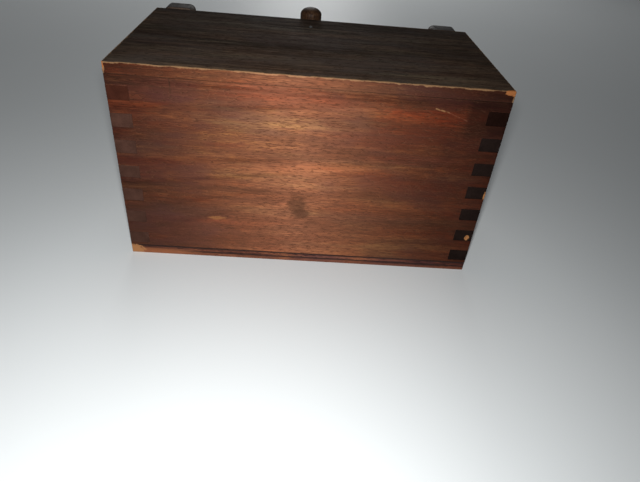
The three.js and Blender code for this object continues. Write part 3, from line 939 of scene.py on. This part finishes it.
def build_case():
    build_back_board()
    build_apron()
    build_bottom_panel()
    for side in SIDES:
        build_side_board(side)
        build_stile(side)
        build_guide(side)
    rail = plain_board("top_rail", outer=0.9 * MM, seed=7)
    stand_in(rail, "top_rail", board_wood("top_rail", "X", DARK_STAIN, 55), "X")


# ---- fasteners and hinges

def build_screw(node, axis, head_high, material):
    """A countersunk cross-head screw, whose head is at the low or the high end of its node."""
    origin, radius, length = axis_place(node, axis)
    if head_high:
        origin = other_end(origin, axis, length)
    shank = radius * 0.5
    pitch = 1.1 * MM
    thread_start = length * 0.35
    profile = [(0, 0), (radius * 0.86, 0), (radius, radius * 0.12), (shank, radius * 0.75),
               (shank, thread_start)]
    for turn in range(int(length * 0.6 / pitch)):
        height = thread_start + turn * pitch
        profile += [(shank * 0.78, height + 0.35 * pitch), (shank, height + 0.7 * pitch),
                    (shank * 0.78, height + pitch)]
    profile.append((0, length))
    piece = turned(f"{node}_piece", profile, axis, origin, 24, head_high)
    carve(piece, cross_cutters(node, axis, origin, radius))
    stand_in(piece, node, [material])


def cross_cutters(node, axis, origin, radius):
    """Two crossed bars that cut a screw's recess."""
    index = AXES.index(axis)
    across = [i for i in range(3) if i != index]
    cutters = []
    for arm in range(2):
        half = Vector((0, 0, 0))
        half[across[arm]] = radius * 0.55
        half[across[1 - arm]] = radius * 0.13
        half[index] = radius * 0.4
        bm = extruded(rectangle(-half.x, half.x, -half.y, half.y), "Z", -half.z, half.z)
        bmesh.ops.translate(bm, verts=bm.verts, vec=origin)
        cutters.append(link_mesh(f"{node}_cut_{arm}", bm))
    return cutters


def build_nail(node, material):
    """A flat-headed nail driven up through the bottom panel."""
    origin, radius, length = axis_place(node, "Z")
    shank = radius * 0.53
    profile = [(0, 0), (radius * 0.9, 0), (radius, 0.15 * MM), (radius, 0.8 * MM),
               (shank, 1.3 * MM), (shank, length - 3 * MM), (0, length)]
    stand_in(turned(f"{node}_piece", profile, "Z", origin, 24), node, [material])


def build_barrel(node, opens_up, material):
    """A hinge barrel with ribs that grip the wood and a slot in its open end."""
    origin, radius, length = axis_place(node, "Z")
    low, high = box_of(node)
    rib = 0.25 * MM
    pitch = 1.2 * MM
    profile = [(0, 0), (radius - 0.5 * MM, 0), (radius - rib, 0.5 * MM)]
    for ring in range(int((length - 3 * MM) / pitch)):
        height = 1 * MM + ring * pitch
        profile += [(radius - rib, height), (radius, height + 0.25 * MM),
                    (radius, height + 0.6 * MM), (radius - rib, height + 0.85 * MM)]
    profile += [(radius, length - 0.6 * MM), (radius, length), (0, length)]
    foot = origin if opens_up else other_end(origin, "Z", length)
    piece = turned(f"{node}_piece", profile, "Z", foot, 48, not opens_up)
    mouth = high.z if opens_up else low.z
    half_width, half_length, depth = 1.6 * MM, 3.6 * MM, 3 * MM
    opening = rectangle(origin.x - half_width, origin.x + half_width,
                        origin.y - half_length, origin.y + half_length)
    carve(piece, [link_mesh(f"{node}_slot", extruded(opening, "Z", mouth - depth, mouth + depth))])
    stand_in(piece, node, [material])


def build_tongue_pin(material):
    """The pin that holds the tongue, with its low domed head just above the lid."""
    origin, radius, crown = axis_place("lid_tongue_pin", "Z")
    seat = LID_HIGH.z - origin.z + 0.1 * MM
    shank = radius * 0.56
    profile = [(0, 0), (shank, 0.4 * MM), (shank, seat)]
    profile += [(radius * x, seat + (crown - seat) * y) for x, y in arc((0, 0), 1, 0, 80, 8)]
    profile.append((0, crown))
    stand_in(turned("lid_tongue_pin_piece", profile, "Z", origin, 32), "lid_tongue_pin", [material])


def build_fasteners():
    zinc = steel("zinc_steel", (0.42, 0.42, 0.41), 0.42, "Z", 91)
    brass_metal = brass("hinge_brass")
    for node in BODY_OF:
        if node.startswith("bar_socket_screw"):
            build_screw(node, "Y", "_back_" in node, zinc)
        elif node.startswith("bottom_nail"):
            build_nail(node, zinc)
        elif node.startswith("hinge_barrel"):
            build_barrel(node, "_box_" in node, brass_metal)
    build_screw("lid_knob_screw", "Z", False, zinc)
    build_screw("drawer_knob_screw", "Y", False, zinc)
    build_tongue_pin(steel("dull_steel", (0.13, 0.13, 0.125), 0.6, "Z", 97))


# ---- knock bar

def build_knock_bar():
    origin, radius, length = axis_place("bar_rod", "Y")
    profile = rounded([(0, 0), (radius, 0), (radius, length), (0, length)], 0.7 * MM)
    piece = turned("bar_rod_piece", profile, "Y", origin)
    stand_in(piece, "bar_rod", [steel("bar_rod_steel", (0.6, 0.61, 0.62), 0.22, "Y", 93)])
    build_sleeve(radius + 0.1 * MM)
    material = plastic("socket_plastic")
    for end in ("back", "front"):
        build_socket(end, radius + 0.4 * MM, material)


def build_sleeve(bore):
    """The rubber sleeve: a thick tube with shallow grooves round it and rounded ends."""
    origin, outer, length = axis_place("bar_sleeve", "Y")
    nose = 2 * MM
    lip = 6 * MM
    groove = 0.35 * MM
    count = 22
    pitch = (length - 2 * lip) / count
    profile = [(bore, 0.8 * MM), (bore + 0.8 * MM, 0)]
    profile += arc((outer - nose, nose), nose, -90, 0, 6)
    for i in range(count):
        start = lip + i * pitch
        profile += [(outer, start), (outer, start + 0.55 * pitch),
                    (outer - groove, start + 0.68 * pitch), (outer - groove, start + 0.87 * pitch)]
    profile.append((outer, length - lip))
    profile += arc((outer - nose, length - nose), nose, 0, 90, 6)
    profile += [(bore + 0.8 * MM, length), (bore, length - 0.8 * MM)]
    piece = turned("bar_sleeve_piece", profile, "Y", origin)
    stand_in(piece, "bar_sleeve", [rubber("sleeve_rubber")])


def build_socket(end, bore, material):
    """A round socket screwed to the wall, open towards the bar."""
    node = f"bar_socket_{end}"
    at_front = end == "front"
    origin, radius, length = axis_place(node, "Y")
    floor = 2 * MM
    profile = rounded([(0, 0), (radius - 1 * MM, 0), (radius, 1 * MM),
                       (radius, length - 1.5 * MM), (radius - 1.5 * MM, length),
                       (bore + 0.6 * MM, length), (bore, length - 0.6 * MM),
                       (bore, floor), (0, floor)], 0.8 * MM)
    wall = other_end(origin, "Y", length) if at_front else origin
    piece = turned(f"{node}_piece", profile, "Y", wall, flip=at_front)
    mouth = origin if at_front else other_end(origin, "Y", length)
    holes = []
    for side in SIDES:
        centre, head, _ = axis_place(f"bar_socket_screw_{end}_{side}", "Y")
        centre.y = mouth.y
        wide = head + 0.15 * MM
        cone = [(0, -1 * MM), (wide, -1 * MM), (wide, 0.3 * MM), (wide * 0.55, wide * 0.9),
                (wide * 0.55, length + 2 * MM), (0, length + 2 * MM)]
        holes.append(turned(f"{node}_hole_{side}", cone, "Y", centre, 24, not at_front))
    carve(piece, holes)
    stand_in(piece, node, [material])


# ---- lid and knobs

def build_lid():
    piece = plain_board("lid", mates=("-Z",), outer=0.6 * MM, dent=0.25 * MM, seed=9)
    chip_out(piece, LID_CHIPS)
    stand_in(piece, "lid", lid_wood())
    paint_facing(piece, "X", 1)
    paint_facing(piece, "Z", 2)
    build_tongue()


def build_tongue():
    """The flat tongue under the lid, with a round end under the knob."""
    low, high = box_of("lid_tongue")
    radius = (high.x - low.x) / 2
    outline = [(low.x, low.y), (high.x, low.y)]
    outline += arc(((low.x + high.x) / 2, high.y - radius), radius, 0, 180, 24)
    woods = board_wood("lid_tongue", "Y", DARK_STAIN, 23)
    stand_in(soft_solid("lid_tongue", outline, "Z", 3), "lid_tongue", woods, "Y")


def build_knob(node, axis, seed):
    """A squat turned knob: foot, waist, straight band with a fine groove, and low dome."""
    origin, radius, height = axis_place(node, axis)
    dome = 6 * MM
    band_top = height - dome
    band_foot = band_top - 5.8 * MM
    waist = 6.5 * MM
    foot = 8 * MM
    groove = 0.3 * MM
    profile = [(0, 0), (foot - 0.6 * MM, 0), (foot, 0.5 * MM), (foot, 1.1 * MM),
               (foot - 0.8 * MM, 1.7 * MM), (waist, 2.4 * MM), (waist, band_foot - 0.9 * MM),
               (radius - 0.7 * MM, band_foot - 0.1 * MM), (radius, band_foot + 0.6 * MM),
               (radius, band_top - 1.7 * MM), (radius - groove, band_top - 1.4 * MM),
               (radius - groove, band_top - 1.1 * MM), (radius, band_top - 0.8 * MM)]
    profile += [(radius * x, band_top + dome * y) for x, y in arc((0, 0), 1, 0, 86, 20)]
    profile.append((0, height))
    piece = turned(f"{node}_piece", profile, axis, origin)
    stand_in(piece, node, knob_wood(node, axis, seed))


# ---- drawer

def build_drawer():
    front = plain_board("drawer_front", outer=1.3 * MM, seed=12)
    woods = board_wood("drawer_front", "X", DARK_STAIN, 57)
    stand_in(front, "drawer_front", woods, "X")
    for node, grain in (("drawer_left_side", "Y"), ("drawer_right_side", "Y"),
                        ("drawer_back", "X"), ("drawer_bottom", "X")):
        woods = board_wood(node, grain, BARE_WOOD, 60 + len(node), 0.65, 0.2)
        stand_in(plain_board(node, seed=13), node, woods, grain)
    dowel_woods = board_wood("drawer_dowel_1", "Y", BARE_WOOD, 65, 0.65, 0.0)
    for node in BODY_OF:
        if node.startswith("drawer_dowel"):
            build_dowel(node, dowel_woods)
    build_bin()


def build_dowel(node, woods):
    """A fluted dowel with chamfered ends."""
    origin, radius, length = axis_place(node, "Y")
    chamfer = 0.8 * MM
    profile = [(0, 0), (radius - chamfer, 0), (radius, chamfer), (radius, length - chamfer),
               (radius - chamfer, length), (0, length)]
    piece = turned(f"{node}_piece", profile, "Y", origin, flutes=12, flute_depth=0.25 * MM)
    stand_in(piece, node, woods, "Y")


def build_bin():
    """A pressed steel pan: rounded floor, thin walls and a rolled rim."""
    low, high = box_of("grounds_bin")
    height = high.z - low.z
    wall = 0.8 * MM
    rim = 2 * MM
    corner = 14 * MM
    bead = rim / 2
    bend = 7 * MM
    # The pan's section from the floor's underside up the outside, over the rim and down the
    # inside, as (inset from the rim's outside, height).
    section = arc((rim + bend, bend), bend, 270, 180, 8)
    section += arc((bead, height - bead), bead, 300, 60, 12)
    section += arc((rim + bend, bend), bend - wall, 180, 270, 8)
    bm = bmesh.new()
    rings = []
    for inset, level in section:
        points = rounded_rectangle(low.x + inset, high.x - inset, low.y + inset, high.y - inset,
                                   corner - inset)
        rings.append([bm.verts.new((x, y, low.z + level)) for x, y in points])
    for lower, upper in zip(rings, rings[1:]):
        bridge(bm, lower, upper)
    bm.faces.new(rings[0])
    bm.faces.new(rings[-1])
    piece = link_mesh("grounds_bin_piece", bm, 50)
    stand_in(piece, "grounds_bin", [steel("grounds_bin_steel", (0.62, 0.62, 0.61), 0.3, "X", 95)])


def rounded_rectangle(x0, x1, y0, y1, radius):
    corners = rectangle(x0 + radius, x1 - radius, y0 + radius, y1 - radius)
    points = []
    for i, corner in enumerate(corners):
        points += arc(corner, radius, 180 + 90 * i, 270 + 90 * i, 10)
    return points


# ---- floor, light and camera

VIEW_AZIMUTH = math.radians(3.77)        # of the line of sight, from +Y towards +X
VIEW_DROP = math.radians(36.17)          # of the line of sight below the horizon
VIEW_ROLL = math.radians(5.52)
VIEW_TARGET = Vector((0.054 * WIDTH, LID_LOW.y, 0.14 * HEIGHT))
VIEW_DISTANCE = 1.539 * WIDTH
LENS_MM = 29.34
SENSOR_MM = 36.0


def add_camera():
    ahead = Vector((math.sin(VIEW_AZIMUTH) * math.cos(VIEW_DROP),
                    math.cos(VIEW_AZIMUTH) * math.cos(VIEW_DROP), -math.sin(VIEW_DROP)))
    level = ahead.cross(Vector((0, 0, 1))).normalized()
    upright = level.cross(ahead)
    right = level * math.cos(VIEW_ROLL) + upright * math.sin(VIEW_ROLL)
    up = right.cross(ahead)
    data = bpy.data.cameras.new("camera")
    data.lens = LENS_MM
    data.sensor_width = SENSOR_MM
    data.clip_start = 0.01
    camera = add_object("camera", data)
    rotation = Matrix((right, up, -ahead)).transposed().to_4x4()
    camera.matrix_world = Matrix.Translation(VIEW_TARGET - ahead * VIEW_DISTANCE) @ rotation
    bpy.context.scene.camera = camera


def add_area_light(name, place, target, size, power):
    data = bpy.data.lights.new(name, "AREA")
    data.shape = "DISK"
    data.size = size
    data.energy = power
    light = add_object(name, data)
    toward = (target - place).to_track_quat("-Z", "Y").to_matrix().to_4x4()
    light.matrix_world = Matrix.Translation(place) @ toward


def add_lights():
    """A small lamp just over the camera, and two wide dim ones beyond the box."""
    add_area_light("key_light", Vector((-0.011, -0.408, 0.285)), Vector((-0.138, -0.148, 0)),
                   0.024, 2.05)
    add_area_light("far_light", Vector((-0.1, 1.6, 1.2)), Vector((-0.1, 1.3, 0)), 1.0, 7.8)
    add_area_light("front_light", Vector((0, 1.9, 0.5)), Vector((0, 0, HEIGHT / 2)), 0.5, 2.6)
    world = bpy.data.worlds.new("world")
    world.use_nodes = True
    background = world.node_tree.nodes["Background"]
    background.inputs["Color"].default_value = (0.86, 0.91, 1.0, 1.0)
    background.inputs["Strength"].default_value = 0.025
    bpy.context.scene.world = world


def add_floor():
    bm = bmesh.new()
    bmesh.ops.create_grid(bm, x_segments=1, y_segments=1, size=4)
    floor = link_mesh("floor", bm)
    surface = Shader("floor_surface")
    cloud = surface.noise(3, 3, 0.5, 99)
    shade = surface.mix(cloud, rgb(0.69, 0.725, 0.73), rgb(0.74, 0.77, 0.775))
    floor.data.materials.append(surface.finish(shade, 0.5))


def main():
    add_camera()
    add_floor()
    add_lights()
    build_case()
    build_fasteners()
    build_knock_bar()
    build_lid()
    build_knob("lid_knob", "Z", 25)
    build_knob("drawer_knob", "Y", 26)
    build_drawer()
    bpy.context.scene.view_settings.view_transform = "Standard"


main()
